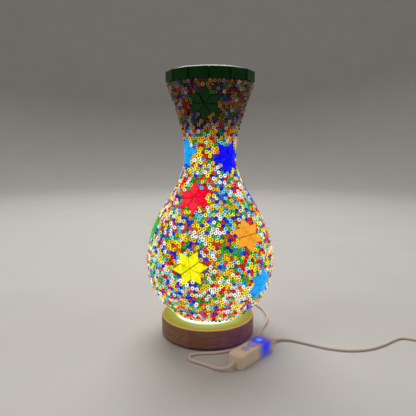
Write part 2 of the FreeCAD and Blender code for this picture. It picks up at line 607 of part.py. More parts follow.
def make_vase():
    points = [flat_point(*p) for p in GLASS_OUTLINE]
    outline = smooth(points, flat_point(*OUTLINE_START), flat_point(*OUTLINE_END))
    start = at_height(outline, COAT_START_Z)
    glue_line = offset(outline, GLUE, start)
    bead_line = offset(glue_line, BEADS, glue_line.FirstParameter)
    save("glass_vase", make_glass(outline))
    save("glue_coat", band_between(outline, glue_line, start, RIM_BAND_Z[1]))
    coat = band_between(glue_line, bead_line, glue_line.FirstParameter, RIM_BAND_Z[0] - 0.2)
    tools = []
    for name, azimuth, height, turn in STARS:
        tiles, windows = make_star(glue_line, azimuth, height, turn)
        save(name, *tiles)
        tools += windows
    save("bead_coat", coat.cut(tools))
    save("rim_tiles", *make_rim_tiles())


make_base()
make_outlet()
make_dimmer()
make_cord()
make_plug()
make_vase()
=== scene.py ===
"""Looks of a mosaic glass lamp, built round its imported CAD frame.

Seed beads, glue, glass stars, a turned wooden light base, a key dimmer and cords are finished here.
Lengths written as plain numbers are millimetres and go through MM; Blender's own are in metres.
"""
import math
import random

import bmesh
import bpy
import numpy as np
from mathutils import Matrix, Vector
from mathutils.bvhtree import BVHTree
from mathutils.kdtree import KDTree


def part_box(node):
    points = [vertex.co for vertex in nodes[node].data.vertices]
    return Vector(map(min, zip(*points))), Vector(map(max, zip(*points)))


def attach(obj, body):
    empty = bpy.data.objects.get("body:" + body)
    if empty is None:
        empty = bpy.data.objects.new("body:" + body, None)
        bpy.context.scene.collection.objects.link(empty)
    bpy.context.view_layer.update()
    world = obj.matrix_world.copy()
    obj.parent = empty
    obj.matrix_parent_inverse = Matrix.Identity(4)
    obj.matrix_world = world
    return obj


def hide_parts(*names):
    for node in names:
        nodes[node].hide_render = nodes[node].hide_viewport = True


MM = 0.001
rng = random.Random(7)
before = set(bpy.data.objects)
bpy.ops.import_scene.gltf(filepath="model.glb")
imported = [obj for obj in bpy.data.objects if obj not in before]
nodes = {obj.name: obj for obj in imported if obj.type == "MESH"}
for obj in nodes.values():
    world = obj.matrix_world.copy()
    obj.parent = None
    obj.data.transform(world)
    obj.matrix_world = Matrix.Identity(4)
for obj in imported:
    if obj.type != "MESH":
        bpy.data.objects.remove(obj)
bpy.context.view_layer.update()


def middle(node):
    """Centre of a CAD node's box."""
    low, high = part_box(node)
    return (low + high) / 2


def screen(r, g, b):
    """Linear colour of a screen colour given as three 0-255 numbers."""
    return tuple(((c / 255 + 0.055) / 1.055) ** 2.4 if c > 10 else c / 3294 for c in (r, g, b))


def scaled(colour, factor):
    return tuple(c * factor for c in colour)


def round_points(radius, height, sides):
    """Points evenly round the Z axis."""
    turns = [2 * math.pi * i / sides for i in range(sides)]
    return [(radius * math.cos(a), radius * math.sin(a), height) for a in turns]


def add_object(name, data):
    """New object that holds the data, linked into the scene."""
    made = bpy.data.objects.new(name, data)
    bpy.context.scene.collection.objects.link(made)
    return made


# ---- camera, lights and floor ------------------------------------------------
CAMERA_PLACE = (-2.27, -449.6, 203.0)
CAMERA_DOWN = 8.34       # degrees below level
LENS = 37.0

# name, place in metres, size, power in watts, colour
LIGHTS = [("key", (-1.0, -0.3, 1.45), 1.1, 5.5, (1.0, 0.95, 0.90)),
          ("fill", (1.2, -0.1, 1.2), 1.2, 3.0, (0.95, 0.97, 1.0)),
          ("back", (-0.1, 0.9, 1.55), 1.3, 21.0, (1.0, 0.98, 0.95))]

BACKDROP = (0.60, 0.59, 0.58, 1)
BACKDROP_STRENGTH = 0.34

# studio sweep, in metres: level floor, quarter circle, upright wall
FLOOR_COLOUR = (0.60, 0.585, 0.565)
FLOOR_RADIUS = 1.6
BEND = 1.2
WALL_TOP = 2.6
SWEEP_SIDES = 96


def add_camera():
    data = bpy.data.cameras.new("camera")
    data.sensor_width = 36.0
    data.lens = LENS
    data.clip_start = 0.01
    camera = add_object("camera", data)
    camera.location = [c * MM for c in CAMERA_PLACE]
    camera.rotation_euler = (math.radians(90 - CAMERA_DOWN), 0, 0)
    bpy.context.scene.camera = camera


def add_light(name, place, size, power, colour):
    data = bpy.data.lights.new(name, "AREA")
    data.shape = "DISK"
    data.size = size
    data.energy = power
    data.color = colour
    light = add_object(name, data)
    light.location = place
    towards = middle("glass_vase") - Vector(place)
    light.rotation_euler = towards.to_track_quat("-Z", "Y").to_euler()


def add_stage():
    for light in LIGHTS:
        add_light(*light)
    world = bpy.data.worlds.new("studio")
    world.use_nodes = True
    backdrop = world.node_tree.nodes["Background"]
    backdrop.inputs["Color"].default_value = BACKDROP
    backdrop.inputs["Strength"].default_value = BACKDROP_STRENGTH
    bpy.context.scene.world = world
    bpy.context.scene.view_settings.view_transform = "Standard"
    bend = [math.radians(6 * i) for i in range(1, 16)]
    profile = [(0.4, 0), (0.8, 0), (FLOOR_RADIUS, 0)]
    profile += [(FLOOR_RADIUS + BEND * math.sin(a), BEND * (1 - math.cos(a))) for a in bend]
    profile.append((FLOOR_RADIUS + BEND, WALL_TOP))
    sides = range(SWEEP_SIDES)
    points = [(0, 0, 0)]
    for radius, height in profile:
        points += round_points(radius, height, SWEEP_SIDES)
    faces = [(0, 1 + i, 1 + (i + 1) % SWEEP_SIDES) for i in sides]
    for ring in range(len(profile) - 1):
        low, high = 1 + ring * SWEEP_SIDES, 1 + (ring + 1) * SWEEP_SIDES
        for i in sides:
            j = (i + 1) % SWEEP_SIDES
            faces.append((low + i, high + i, high + j, low + j))
    mesh = bpy.data.meshes.new("studio_sweep")
    mesh.from_pydata(points, [], faces)
    smooth_shaded(mesh)
    mesh.materials.append(finish_of("studio_sweep", FLOOR_COLOUR, roughness=0.6, grain=30,
                                    mottle=0.02, bump=0.0))
    add_object("studio_sweep", mesh)


# ---- material helpers --------------------------------------------------------
def new_material(name, **plain):
    """Node material with one Principled shader; returns (material, tree, shader).

    plain holds the shader's inputs that are the same all over; _ stands for a space in a name,
    and a colour is given as three numbers."""
    material = bpy.data.materials.new(name)
    material.use_nodes = True
    tree = material.node_tree
    shader = tree.nodes["Principled BSDF"]
    for key, value in plain.items():
        if isinstance(value, tuple):
            value = (*value, 1)
        shader.inputs[key.replace("_", " ")].default_value = value
    return material, tree, shader


def node(tree, kind, inputs=(), **settings):
    """Add a node, set its properties, and set or link its inputs, given as (name or index, value).
    """
    made = tree.nodes.new("ShaderNode" + kind)
    for key, value in settings.items():
        setattr(made, key, value)
    for key, value in inputs:
        if isinstance(value, bpy.types.NodeSocket):
            tree.links.new(value, made.inputs[key])
        else:
            made.inputs[key].default_value = value
    return made


def place_in_frame(tree):
    """Coordinates of the shaded point on the object at rest, in metres."""
    return node(tree, "TexCoord").outputs["Object"]


def noise(tree, vector, scale, detail=3.0, rough=0.5):
    made = node(tree, "TexNoise", [("Vector", vector), ("Scale", scale), ("Detail", detail),
                                   ("Roughness", rough)])
    return made.outputs["Fac"]


def stretched(tree, vector, x, y, z, turn=(0, 0, 0)):
    """Coordinates turned and scaled by different amounts along each axis."""
    return node(tree, "Mapping", [("Vector", vector), ("Scale", (x, y, z)), ("Rotation", turn)]
                ).outputs["Vector"]


def ramp(tree, factor, stops, steps="LINEAR"):
    """Colour ramp from (position, colour) stops."""
    made = node(tree, "ValToRGB", [("Fac", factor)])
    made.color_ramp.interpolation = steps
    elements = made.color_ramp.elements
    while len(elements) < len(stops):
        elements.new(1.0)
    for element, (position, colour) in zip(elements, stops):
        element.position = position
        element.color = (*colour, 1.0)
    return made.outputs["Color"]


def spread(tree, value, low, high, to_low=0.0, to_high=1.0, smooth=True):
    """Map a value from one range to another."""
    made = node(tree, "MapRange", [("Value", value), ("From Min", low), ("From Max", high),
                                   ("To Min", to_low), ("To Max", to_high)],
                interpolation_type="SMOOTHSTEP" if smooth else "LINEAR")
    return made.outputs["Result"]


def maths(tree, operation, a, b=0.0):
    return node(tree, "Math", [(0, a), (1, b)], operation=operation).outputs[0]


def blend(tree, first, share, second, other_share):
    """Sum of two values, each times its share."""
    return maths(tree, "ADD", maths(tree, "MULTIPLY", first, share),
                 maths(tree, "MULTIPLY", second, other_share))


def mixed(tree, factor, first, second, how="MIX"):
    """Mix of two colours, each a socket or four numbers."""
    return node(tree, "Mix", [("Factor", factor), (6, first), (7, second)], data_type="RGBA",
                blend_type=how).outputs[2]


def coordinate(tree, vector, axis):
    return node(tree, "SeparateXYZ", [("Vector", vector)]).outputs[axis]


def distance_to(tree, vector, place):
    """Distance of the shaded point from a place given in millimetres."""
    return node(tree, "VectorMath", [(0, vector), (1, [c * MM for c in place])],
                operation="DISTANCE").outputs["Value"]


def add_bump(tree, shader, height, strength, depth=0.0004):
    made = node(tree, "Bump", [("Height", height), ("Strength", strength), ("Distance", depth)])
    tree.links.new(made.outputs["Normal"], shader.inputs["Normal"])


def mottled(tree, vector, colour, scale, amount):
    """A colour that wanders a little lighter and darker."""
    light, dark = scaled(colour, 1 + amount), scaled(colour, 1 - amount)
    return ramp(tree, noise(tree, vector, scale), [(0.3, dark), (0.7, light)])


def finish_of(name, colour, roughness=0.5, metallic=0.0, grain=900, mottle=0.08, bump=0.1,
              coat=0.0):
    """Plain moulded, cast or turned stock: a slightly uneven colour and a fine surface grain."""
    material, tree, shader = new_material(name, Roughness=roughness, Metallic=metallic,
                                          Coat_Weight=coat)
    place = place_in_frame(tree)
    tree.links.new(mottled(tree, place, colour, grain / 3, mottle), shader.inputs["Base Color"])
    add_bump(tree, shader, noise(tree, place, grain * 2), bump)
    return material


def give(material, *names):
    """Put one material on every slot of the named CAD nodes."""
    for name in names:
        mesh = nodes[name].data
        if not mesh.materials:
            mesh.materials.append(material)
        for i in range(len(mesh.materials)):
            mesh.materials[i] = material


def smooth_shaded(mesh):
    mesh.polygons.foreach_set("use_smooth", [True] * len(mesh.polygons))


# ---- cords -------------------------------------------------------------------
CORD = 2.8
# from the sleeve behind the base round its right side to the dimmer
LAMP_ROUTE = [(-2.7, 64, 9), (-2.7, 70.5, 7.6), (1, 79, 3.6), (11, 87.5, 1.4), (26, 92.5, 1.4),
              (42, 90, 1.4), (55.5, 80, 1.4), (64.5, 64.5, 1.4), (67.6, 46.5, 1.4), (68.4, 29, 1.4),
              (63, 13.5, 1.4), (55.6, -3.4, 1.4), (49.4, -20.2, 1.4), (38.6, -36.4, 1.4),
              (24.2, -48.8, 1.4), (8.2, -54.6, 1.4), (-4, -55.6, 1.4), (-12, -56.2, 1.4),
              (-17.6, -58, 1.4), (-20.6, -62.2, 1.4), (-19.8, -67.5, 1.4), (-15.4, -71.4, 1.4),
              (-8.6, -75.2, 1.4), (-0.8, -80.4, 1.4), (4.5, -84.4, 1.6), (9.4, -87.6, 2.6),
              (13.8, -89.1, 4), (17.3, -88.05, 5.2), (19.61, -85.36, 6)]
# from the dimmer along the table to the coil
SUPPLY_ROUTE = [(60.2, -37.84, 6), (62.8, -34.8, 5.4), (66.4, -29.6, 3.4), (72.6, -25.9, 1.6),
                (83, -25.6, 1.4), (98, -33.8, 1.4), (117, -45.2, 1.4), (138.5, -50.6, 1.4),
                (159, -47.4, 1.4), (177, -38.2, 1.4), (191, -27.6, 1.4), (203, -20.4, 1.4),
                (214, -25.6, 1.4), (228, -31.9, 1.4)]
# from the coil to the plug
PLUG_ROUTE = [(269.8, -10.5, 5.6), (271, -1, 3.8), (271.4, 8.5, 3.5)]
COIL_MIDDLE = (249.8, -18.0)
COIL_START = 250.0       # angle at which the cord runs into the coil
COIL_STEPS = 18          # points in each turn
# radius and height of each turn, in the order they are wound: in along the bottom, out, and on top
COIL_TURNS = [(19.8, 2.1), (16.9, 2.1), (14.1, 2.1), (11.2, 2.1), (12.6, 4.6), (15.5, 4.6),
              (18.4, 4.6), (17.0, 7.1), (19.8, 7.1), (19.8, 7.1)]
CROSSING = 0.2           # share of a turn over which the cord shifts to the next one


def coil_points():
    """Points of the wound turns, from the arriving cord to the side that faces the plug."""
    last_share = (360.0 - COIL_START) / 360.0
    count = round((len(COIL_TURNS) - 1 + last_share) * COIL_STEPS)
    for step in range(count + 1):
        turn, share = divmod(step / COIL_STEPS, 1.0)
        here, there = COIL_TURNS[int(turn)], COIL_TURNS[min(int(turn) + 1, len(COIL_TURNS) - 1)]
        shift = max(0.0, (share - 1 + CROSSING) / CROSSING)
        shift = shift * shift * (3 - 2 * shift)
        radius, height = [a + (b - a) * shift for a, b in zip(here, there)]
        angle = math.radians(COIL_START + 360.0 * step / COIL_STEPS)
        yield (COIL_MIDDLE[0] + radius * math.cos(angle),
               COIL_MIDDLE[1] + radius * math.sin(angle), height)


def cord_along(name, route, material):
    curve = bpy.data.curves.new(name, "CURVE")
    curve.dimensions = "3D"
    curve.bevel_depth = CORD / 2 * MM
    curve.bevel_resolution = 5
    curve.use_fill_caps = True
    spline = curve.splines.new("NURBS")
    spline.points.add(len(route) - 1)
    for point, place in zip(spline.points, route):
        point.co = (*[c * MM for c in place], 1.0)
    spline.order_u = 3
    spline.use_endpoint_u = True
    spline.resolution_u = 8
    curve.materials.append(material)
    cord = add_object(name, curve)
    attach(cord, "base")
    return cord


def add_cords():
    jacket = cord_material()
    lamp = cord_along("lamp_cord", LAMP_ROUTE, jacket)
    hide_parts("cord_lamp")
    supply = cord_along("supply_cord", SUPPLY_ROUTE + list(coil_points()) + PLUG_ROUTE, jacket)
    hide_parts("cord_supply", "cord_coil", "cord_plug_end")


def cord_material():
    """Soft off-white cord jacket with a faint matt grain."""
    material, tree, shader = new_material("cord_jacket", Roughness=0.42, Specular_IOR_Level=0.45)
    place = place_in_frame(tree)
    tree.links.new(mottled(tree, place, (0.84, 0.68, 0.61), 60, 0.06), shader.inputs["Base Color"])
    add_bump(tree, shader, noise(tree, place, 2500), 0.08, 0.0002)
    return material


# ---- how the lamp glows ------------------------------------------------------
# heights in millimetres up to which each part is lit through and from which it is dark
BEAD_FADE = (188.0, 231.0)
TILE_FADE = (196.0, 227.0)
GLUE_FADE = (180.0, 216.0)
GLOW_LEFT = 0.012        # share of the glow that reaches the rim


def glow_at(height):
    """Share of full brightness of a bead at a height in millimetres."""
    full, gone = BEAD_FADE
    share = min(1.0, max(0.0, (gone - height) / (gone - full)))
    return GLOW_LEFT + (1 - GLOW_LEFT) * share * share * (3 - 2 * share)


def glow_node(tree, vector, fade):
    """The same share as a node value, for a part with its own fade."""
    height = coordinate(tree, vector, "Z")
    return spread(tree, height, fade[0] * MM, fade[1] * MM, 1.0, GLOW_LEFT)


# ---- the vase's surface ------------------------------------------------------
class Surface:
    """Outside of the glue coat as radius and height, millimetres, by distance along its outline."""

    STEPS = 700

    def __init__(self):
        mesh = nodes["glue_coat"].data
        tree = BVHTree.FromPolygons([v.co for v in mesh.vertices],
                                    [p.vertices for p in mesh.polygons])
        low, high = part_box("glue_coat")
        outside = high.x * 2
        rows = []
        for z in np.linspace(low.z + 0.1 * MM, high.z - 0.1 * MM, self.STEPS):
            found = tree.ray_cast(Vector((outside, 0, z)), Vector((-1, 0, 0)))[0]
            rows.append((found.x / MM, z / MM))
        self.line = np.array(rows)
        steps = np.hypot(*np.diff(self.line, axis=0).T)
        self.s = np.concatenate([[0.0], np.cumsum(steps)])
        along = np.gradient(self.line, self.s, axis=0)
        along /= np.hypot(*along.T)[:, None]
        self.along = along

    def at(self, s):
        """Radius, height and the outline's two direction parts at distances s."""
        return [np.interp(s, self.s, column) for column in (*self.line.T, *self.along.T)]

    def nearest(self, points):
        """Distance along the outline of the surface point nearest to each point."""
        here = np.column_stack([np.hypot(points[:, 0], points[:, 1]), points[:, 2]])
        gaps = ((here[:, None, :] - self.line[None, :, :]) ** 2).sum(axis=2)
        return self.s[gaps.argmin(axis=1)]

    def place(self, azimuth, s):
        radius, height = self.at(s)[:2]
        return np.column_stack([radius * np.cos(azimuth), radius * np.sin(azimuth), height])


def tiles_of(star):
    """A star's rhombus tiles: centre, long axis, short axis and the two half diagonals, in mm."""
    work = bmesh.new()
    work.from_mesh(nodes[star].data)
    bmesh.ops.remove_doubles(work, verts=work.verts, dist=1e-6)
    left = set(work.verts)
    found = []
    while left:
        group, fresh = set(), {left.pop()}
        while fresh:
            vert = fresh.pop()
            group.add(vert)
            around = {e.other_vert(vert) for e in vert.link_edges}
            fresh |= around - group
        left -= group
        places = np.array([v.co for v in group]) / MM
        centre = places.mean(axis=0)
        axes = np.linalg.svd(places - centre, full_matrices=False)[2]
        reach, half = [np.abs((places - centre) @ axis).max() for axis in axes[:2]]
        found.append((centre, axes[0], axes[1], reach, half))
    work.free()
    return found


# ---- seed beads --------------------------------------------------------------
BEAD = 4.0               # diameter
BEAD_LENGTH = 2.8
PACKING = 3.98           # distance that two beads settle at
ROW = 0.86               # rows start this share of the spacing apart
START_SPACING = 4.02
JITTER = 1.0
SETTLE_SHARE = 0.8       # share of the push that a bead takes in each round
TILE_ROOM = 1.95         # from a bead's middle to the edge of a tile
TILE_NEAR = 6.0          # beads farther than this past a tile's point are not pushed by it
ON_TILE = -0.2           # a first place deeper than this inside a tile gets no bead
PRESSED = 0.45           # a settled bead may be this much nearer to a tile than TILE_ROOM
FILL_PRESSED = 0.2       # and a bead added in a hole this much
ON_SIDE = 0.12           # share of beads that lie on their side
BEAD_TILT = 14.0         # usual tilt of the others, degrees
ROUNDS = 16
EDGE_ROOM = 2.0          # from a bead's middle to the end of the coat
CLOSEST = (3.2, 3.3)     # beads nearer than this are dropped, before and after the holes are filled
FILL_TRIES = 24000
FILL_ROOM = 3.3          # from a hole's middle to the nearest bead that was there before
FILL_SPACING = 3.6       # between beads that fill holes
FAR = 99.0               # stands for no tile near
MAX_BEADS_IN_PIECE = 640

# lit colour and share of each kind of bead
BEADS = {"white": ((255, 252, 248), 18), "yellow": ((255, 238, 22), 23),
         "gold": ((255, 196, 22), 11), "orange": ((248, 104, 28), 6), "red": ((238, 18, 34), 10),
         "green": ((30, 190, 60), 11), "cobalt": ((12, 44, 222), 8), "blue": ((34, 112, 240), 5),
         "sky": ((112, 222, 250), 12), "pink": ((240, 60, 150), 1), "violet": ((104, 92, 216), 1)}

# where one colour was poured on more thickly: azimuth, height, radius, colour, extra share
CLUSTERS = [(21, 132, 9, "cobalt", 170), (21, 158, 13, "blue", 60), (24, 156, 12, "sky", 60),
            (0, 121, 12, "white", 60), (-23, 129, 5, "cobalt", 300), (-17, 73, 9, "white", 130),
            (14, 83, 18, "gold", 60), (35, 96, 8, "red", 120), (-42, 109, 7, "green", 120),
            (-23, 186, 13, "yellow", 70), (7, 213, 9, "red", 110), (-4, 221, 8, "gold", 120),
            (7, 123, 9, "sky", 70), (4, 96, 12, "gold", 50), (5, 61, 11, "orange", 45),
            (-8, 173, 11, "white", 50), (23, 95, 9, "yellow", 90), (11, 100, 7, "green", 90),
            (-24, 67, 6, "cobalt", 180), (-51, 90, 12, "sky", 70), (-52, 139, 12, "white", 70),
            (-32, 105, 9, "gold", 90), (-38, 250, 9, "orange", 90), (-51, 257, 9, "cobalt", 90),
            (-20, 256, 6, "red", 100), (28, 220, 9, "yellow", 60), (70, 120, 14, "yellow", 60),
            (95, 60, 12, "white", 60), (130, 120, 12, "green", 60), (150, 160, 12, "sky", 60),
            (-160, 110, 14, "gold", 60), (-95, 60, 12, "red", 60), (-100, 130, 12, "cobalt", 60),
            (180, 70, 12, "yellow", 60), (-150, 200, 10, "red", 60), (110, 210, 10, "white", 60),
            (0, 192, 11, "red", 90), (8, 186, 10, "orange", 90), (-8, 204, 9, "yellow", 60),
            (-28, 40, 15, "orange", 90), (0, 38, 15, "red", 90), (28, 40, 15, "red", 100),
            (12, 46, 14, "gold", 60), (-56, 80, 14, "green", 50), (-50, 72, 14, "sky", 70),
            (50, 100, 16, "red", 60), (56, 84, 14, "yellow", 70), (-16, 166, 10, "red", 60),
            (-6, 148, 9, "yellow", 70), (34, 168, 11, "orange", 50), (-42, 164, 10, "red", 50)]

# outline of a flat bead: radius, height, and what the ring from here to the next point is
BEAD_OUTLINE = [(0.72, -0.95, "hole"), (0.72, 0.90, "hole"), (0.86, 1.22, "crown"),
                (1.20, 1.40, "crown"), (1.60, 1.24, "crown"), (1.86, 0.80, "side"),
                (1.95, 0.15, "side"), (1.86, -0.74, "side"), (1.42, -1.36, "side"),
                (0.90, -1.32, "side")]
BEAD_SIDES = 14
GLOW_LEVELS = 8
TINTS = 3                # slightly different batches of each colour
TINT_STEP = 0.13
# glow of each ring of a bead; it also darkens the base colour, as painted shade on the sides
# between beads and in the hole
ROLE_GLOW = {"crown": 1.0, "side": 0.30, "hole": 0.08}
BEAD_GLOW = 0.9          # emission of a fully lit bead
DIM_WARMTH = (1.40, 0.90, 0.80)    # what is left of the light in the neck has turned warm
BEAD_SCALE = (0.93, 1.04)
BEAD_LIFT = (-0.12, 0.18)          # a bead sits this much deeper or prouder than its neighbours
BEAD_SUNK = 0.4                    # a bead on its side sinks this far into the glue
GLOW_SPREAD = (0.84, 1.1)          # how unevenly beads at one height are lit
CLUSTER_STRENGTH = 0.5
CLUSTER_FALL = 1.6                 # how fast a cluster thins out


def start_places(surface):
    """Beads in jittered rows all over the coat, as azimuth and distance along the outline."""
    low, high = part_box("bead_coat")
    first = surface.nearest(np.array([[surface.at(0)[0], 0, low.z / MM]]))[0] + EDGE_ROOM
    last = float(np.interp(high.z / MM, surface.line[:, 1], surface.s)) - EDGE_ROOM
    rows = int((last - first) / (START_SPACING * ROW))
    azimuths, distances = [], []
    for row in range(rows + 1):
        s = first + (last - first) * row / rows
        count = int(2 * math.pi * surface.at(s)[0] / START_SPACING)
        phase = rng.random()
        for i in range(count):
            azimuths.append(2 * math.pi * (i + phase) / count)
            distances.append(s)
    places = surface.place(np.array(azimuths), np.array(distances))
    shake = np.array([[rng.uniform(-JITTER, JITTER) for _ in range(3)] for _ in range(len(places))])
    return places + shake, (first, last)


def tile_push(places, tiles):
    """How far each bead must move to clear the tiles, and its distance from the nearest edge."""
    move = np.zeros_like(places)
    nearest = np.full(len(places), FAR)
    for centre, long_axis, short_axis, reach, half in tiles:
        offset = places - centre
        close = np.nonzero((offset ** 2).sum(axis=1) < (reach + TILE_NEAR) ** 2)[0]
        if not len(close):
            continue
        x, y = offset[close] @ long_axis, offset[close] @ short_axis
        edge = np.array([-reach, half])
        share = np.clip(((np.abs(x) - reach) * edge[0] + np.abs(y) * edge[1]) / (edge @ edge), 0, 1)
        away = np.column_stack([np.abs(x) - reach - share * edge[0], np.abs(y) - share * edge[1]])
        gap = np.hypot(*away.T)
        inside = np.abs(x) / reach + np.abs(y) / half < 1
        away /= np.maximum(gap, 1e-6)[:, None]
        away[inside] *= -1
        gap[inside] *= -1
        need = np.clip(TILE_ROOM - gap, 0, None)
        push = away * need[:, None] * np.column_stack([np.sign(x), np.sign(y)])
        move[close] += push[:, :1] * long_axis + push[:, 1:] * short_axis
        nearest[close] = np.minimum(nearest[close], gap)
    return move, nearest


def tree_of(places):
    tree = KDTree(len(places))
    for i, place in enumerate(places):
        tree.insert(place, i)
    tree.balance()
    return tree


def close_pairs(places, distance):
    tree = tree_of(places)
    pairs = [(i, j) for i, place in enumerate(places)
             for _, j, _ in tree.find_range(place, distance) if j > i]
    return np.array(pairs, dtype=int).reshape(-1, 2)


def settled(places, surface, ends, tiles, rounds):
    """Push beads off each other and off the tiles while they stay on the surface."""
    for _ in range(rounds):
        pairs = close_pairs(places, PACKING)
        between = places[pairs[:, 0]] - places[pairs[:, 1]]
        gap = np.maximum(np.sqrt((between ** 2).sum(axis=1)), 1e-6)
        push = between * ((PACKING - gap) / gap / 2)[:, None]
        move = np.zeros_like(places)
        np.add.at(move, pairs[:, 0], push)
        np.add.at(move, pairs[:, 1], -push)
        places = places + move * SETTLE_SHARE
        places = places + tile_push(places, tiles)[0]
        s = np.clip(surface.nearest(places), *ends)
        places = surface.place(np.arctan2(places[:, 1], places[:, 0]), s)
    return places


def thinned(places, tiles, closest):
    """Drop beads that still sit on a tile or deep in a neighbour."""
    keep = tile_push(places, tiles)[1] > TILE_ROOM - PRESSED
    for i, j in close_pairs(places, closest):
        if keep[i] and keep[j]:
            keep[j] = False
    return places[keep]


def filled(places, surface, ends, tiles):
    """Add beads where a hole in the coat is wide enough for one."""
    s = np.array([rng.uniform(*ends) for _ in range(FILL_TRIES)])
    spots = surface.place(np.array([rng.uniform(-math.pi, math.pi) for _ in range(FILL_TRIES)]), s)
    spots = spots[tile_push(spots, tiles)[1] > TILE_ROOM - FILL_PRESSED]
    tree = tree_of(places)
    added = []
    for spot in spots:
        clear = tree.find(spot)[2] > FILL_ROOM
        if clear and all(math.dist(spot, other) > FILL_SPACING for other in added):
            added.append(spot)
    return np.vstack([places, added]) if added else places


def bead_places(surface):
    tiles = [tile for name in nodes if name.startswith("star_") for tile in tiles_of(name)]
    places, ends = start_places(surface)
    places = places[tile_push(places, tiles)[1] > ON_TILE]
    places = settled(places, surface, ends, tiles, ROUNDS)
    places = thinned(places, tiles, CLOSEST[0])
    places = filled(places, surface, ends, tiles)
    places = settled(places, surface, ends, tiles, ROUNDS // 2)
    return thinned(places, tiles, CLOSEST[1])


def pick_colour(place, clusters):
    """Kind of bead for a place, by the shares of the mix and the patches poured on."""
    shares = {name: share for name, (_, share) in BEADS.items()}
    for spot, radius, name, extra in clusters:
        gap = (place - spot) / radius
        shares[name] += CLUSTER_STRENGTH * extra * math.exp(-float(gap @ gap) * CLUSTER_FALL)
    return rng.choices(list(shares), list(shares.values()))[0]


def bead_template(outline):
    """Points, quads and the role of each quad for one bead round its own Z axis."""
    points, quads, roles = [], [], []
    rings = len(outline)
    for radius, height, _ in outline:
        points += round_points(radius, height, BEAD_SIDES)
    for ring in range(rings):
        above = (ring + 1) % rings
        for i in range(BEAD_SIDES):
            j = (i + 1) % BEAD_SIDES
            quads.append((above * BEAD_SIDES + i, above * BEAD_SIDES + j,
                          ring * BEAD_SIDES + j, ring * BEAD_SIDES + i))
            roles.append(outline[ring][2])
    return np.array(points), np.array(quads), roles


def bead_material(cache, kind, level, tint, role):
    """Glass of one colour at one brightness. Its values are the same all over, so all are plain."""
    key = (kind, level, tint, role)
    if key in cache:
        return cache[key]
    glow = level / (GLOW_LEVELS - 1)
    lit = screen(*BEADS[kind][0])
    grey = sum(lit) / 3
    shift = (tint - 1) * TINT_STEP
    lit = tuple(c * (1 + shift) + grey * abs(shift) * 0.4 for c in lit)
    lit = tuple(c * (1 + (warmth - 1) * (1 - glow)) for c, warmth in zip(lit, DIM_WARMTH))
    # painted light and shade: the base colour is lighter the more the bead glows, and darker on the
    # side and hole rings
    body = 0.21 + 0.11 * glow
    material = new_material(
        f"bead_{kind}_{role}_{level}_{tint}",
        Base_Color=scaled(lit, body * (0.45 + 0.55 * ROLE_GLOW[role])), Emission_Color=lit,
        Emission_Strength=BEAD_GLOW * glow ** 1.25 * ROLE_GLOW[role], Roughness=0.14,
        Specular_IOR_Level=0.4)[0]
    cache[key] = material
    return material


def lay_beads(name, kind, places, turns, levels, tints, cache):
    """One mesh of many beads of one kind. turns holds a 3 by 3 matrix per bead."""
    points, quads, roles = bead_template(BEAD_OUTLINE)
    count = len(places)
    coordinates = (np.einsum("bij,pj->bpi", turns, points) + places[:, None, :]) * MM
    faces = quads[None, :, :] + (np.arange(count) * len(points))[:, None, None]
    mesh = bpy.data.meshes.new(name)
    mesh.vertices.add(count * len(points))
    mesh.vertices.foreach_set("co", coordinates.reshape(-1).astype(np.float32))
    mesh.loops.add(faces.size)
    mesh.loops.foreach_set("vertex_index", faces.reshape(-1).astype(np.int32))
    mesh.polygons.add(count * len(quads))
    mesh.polygons.foreach_set("loop_start", np.arange(0, faces.size, 4, dtype=np.int32))
    slots, indices = {}, []
    for level, tint in zip(levels, tints):
        by_role = {}
        for role in ROLE_GLOW:
            batch = tint if role == "crown" else 1
            material = bead_material(cache, kind, level, batch, role)
            if material.name not in slots:
                slots[material.name] = len(slots)
                mesh.materials.append(material)
            by_role[role] = slots[material.name]
        indices += [by_role[role] for role in roles]
    mesh.polygons.foreach_set("material_index", np.array(indices, dtype=np.int32))
    mesh.update(calc_edges=True)
    mesh.validate()
    smooth_shaded(mesh)
    beads = add_object(name, mesh)
    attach(beads, "vase")
    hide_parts("bead_coat")


def bead_turn(outward, on_side):
    """Turn and size of one bead as a matrix: flat with a slight tilt, or on its side."""
    spin = Matrix.Rotation(rng.uniform(0, 2 * math.pi), 3, "Z")
    lean = 90 + rng.uniform(-BEAD_TILT, BEAD_TILT) if on_side else rng.gauss(0, BEAD_TILT)
    tilt = Matrix.Rotation(math.radians(lean), 3, "X")
    upright = outward.to_track_quat("Z", "Y").to_matrix()
    return np.array(upright @ spin @ tilt) * rng.uniform(*BEAD_SCALE)


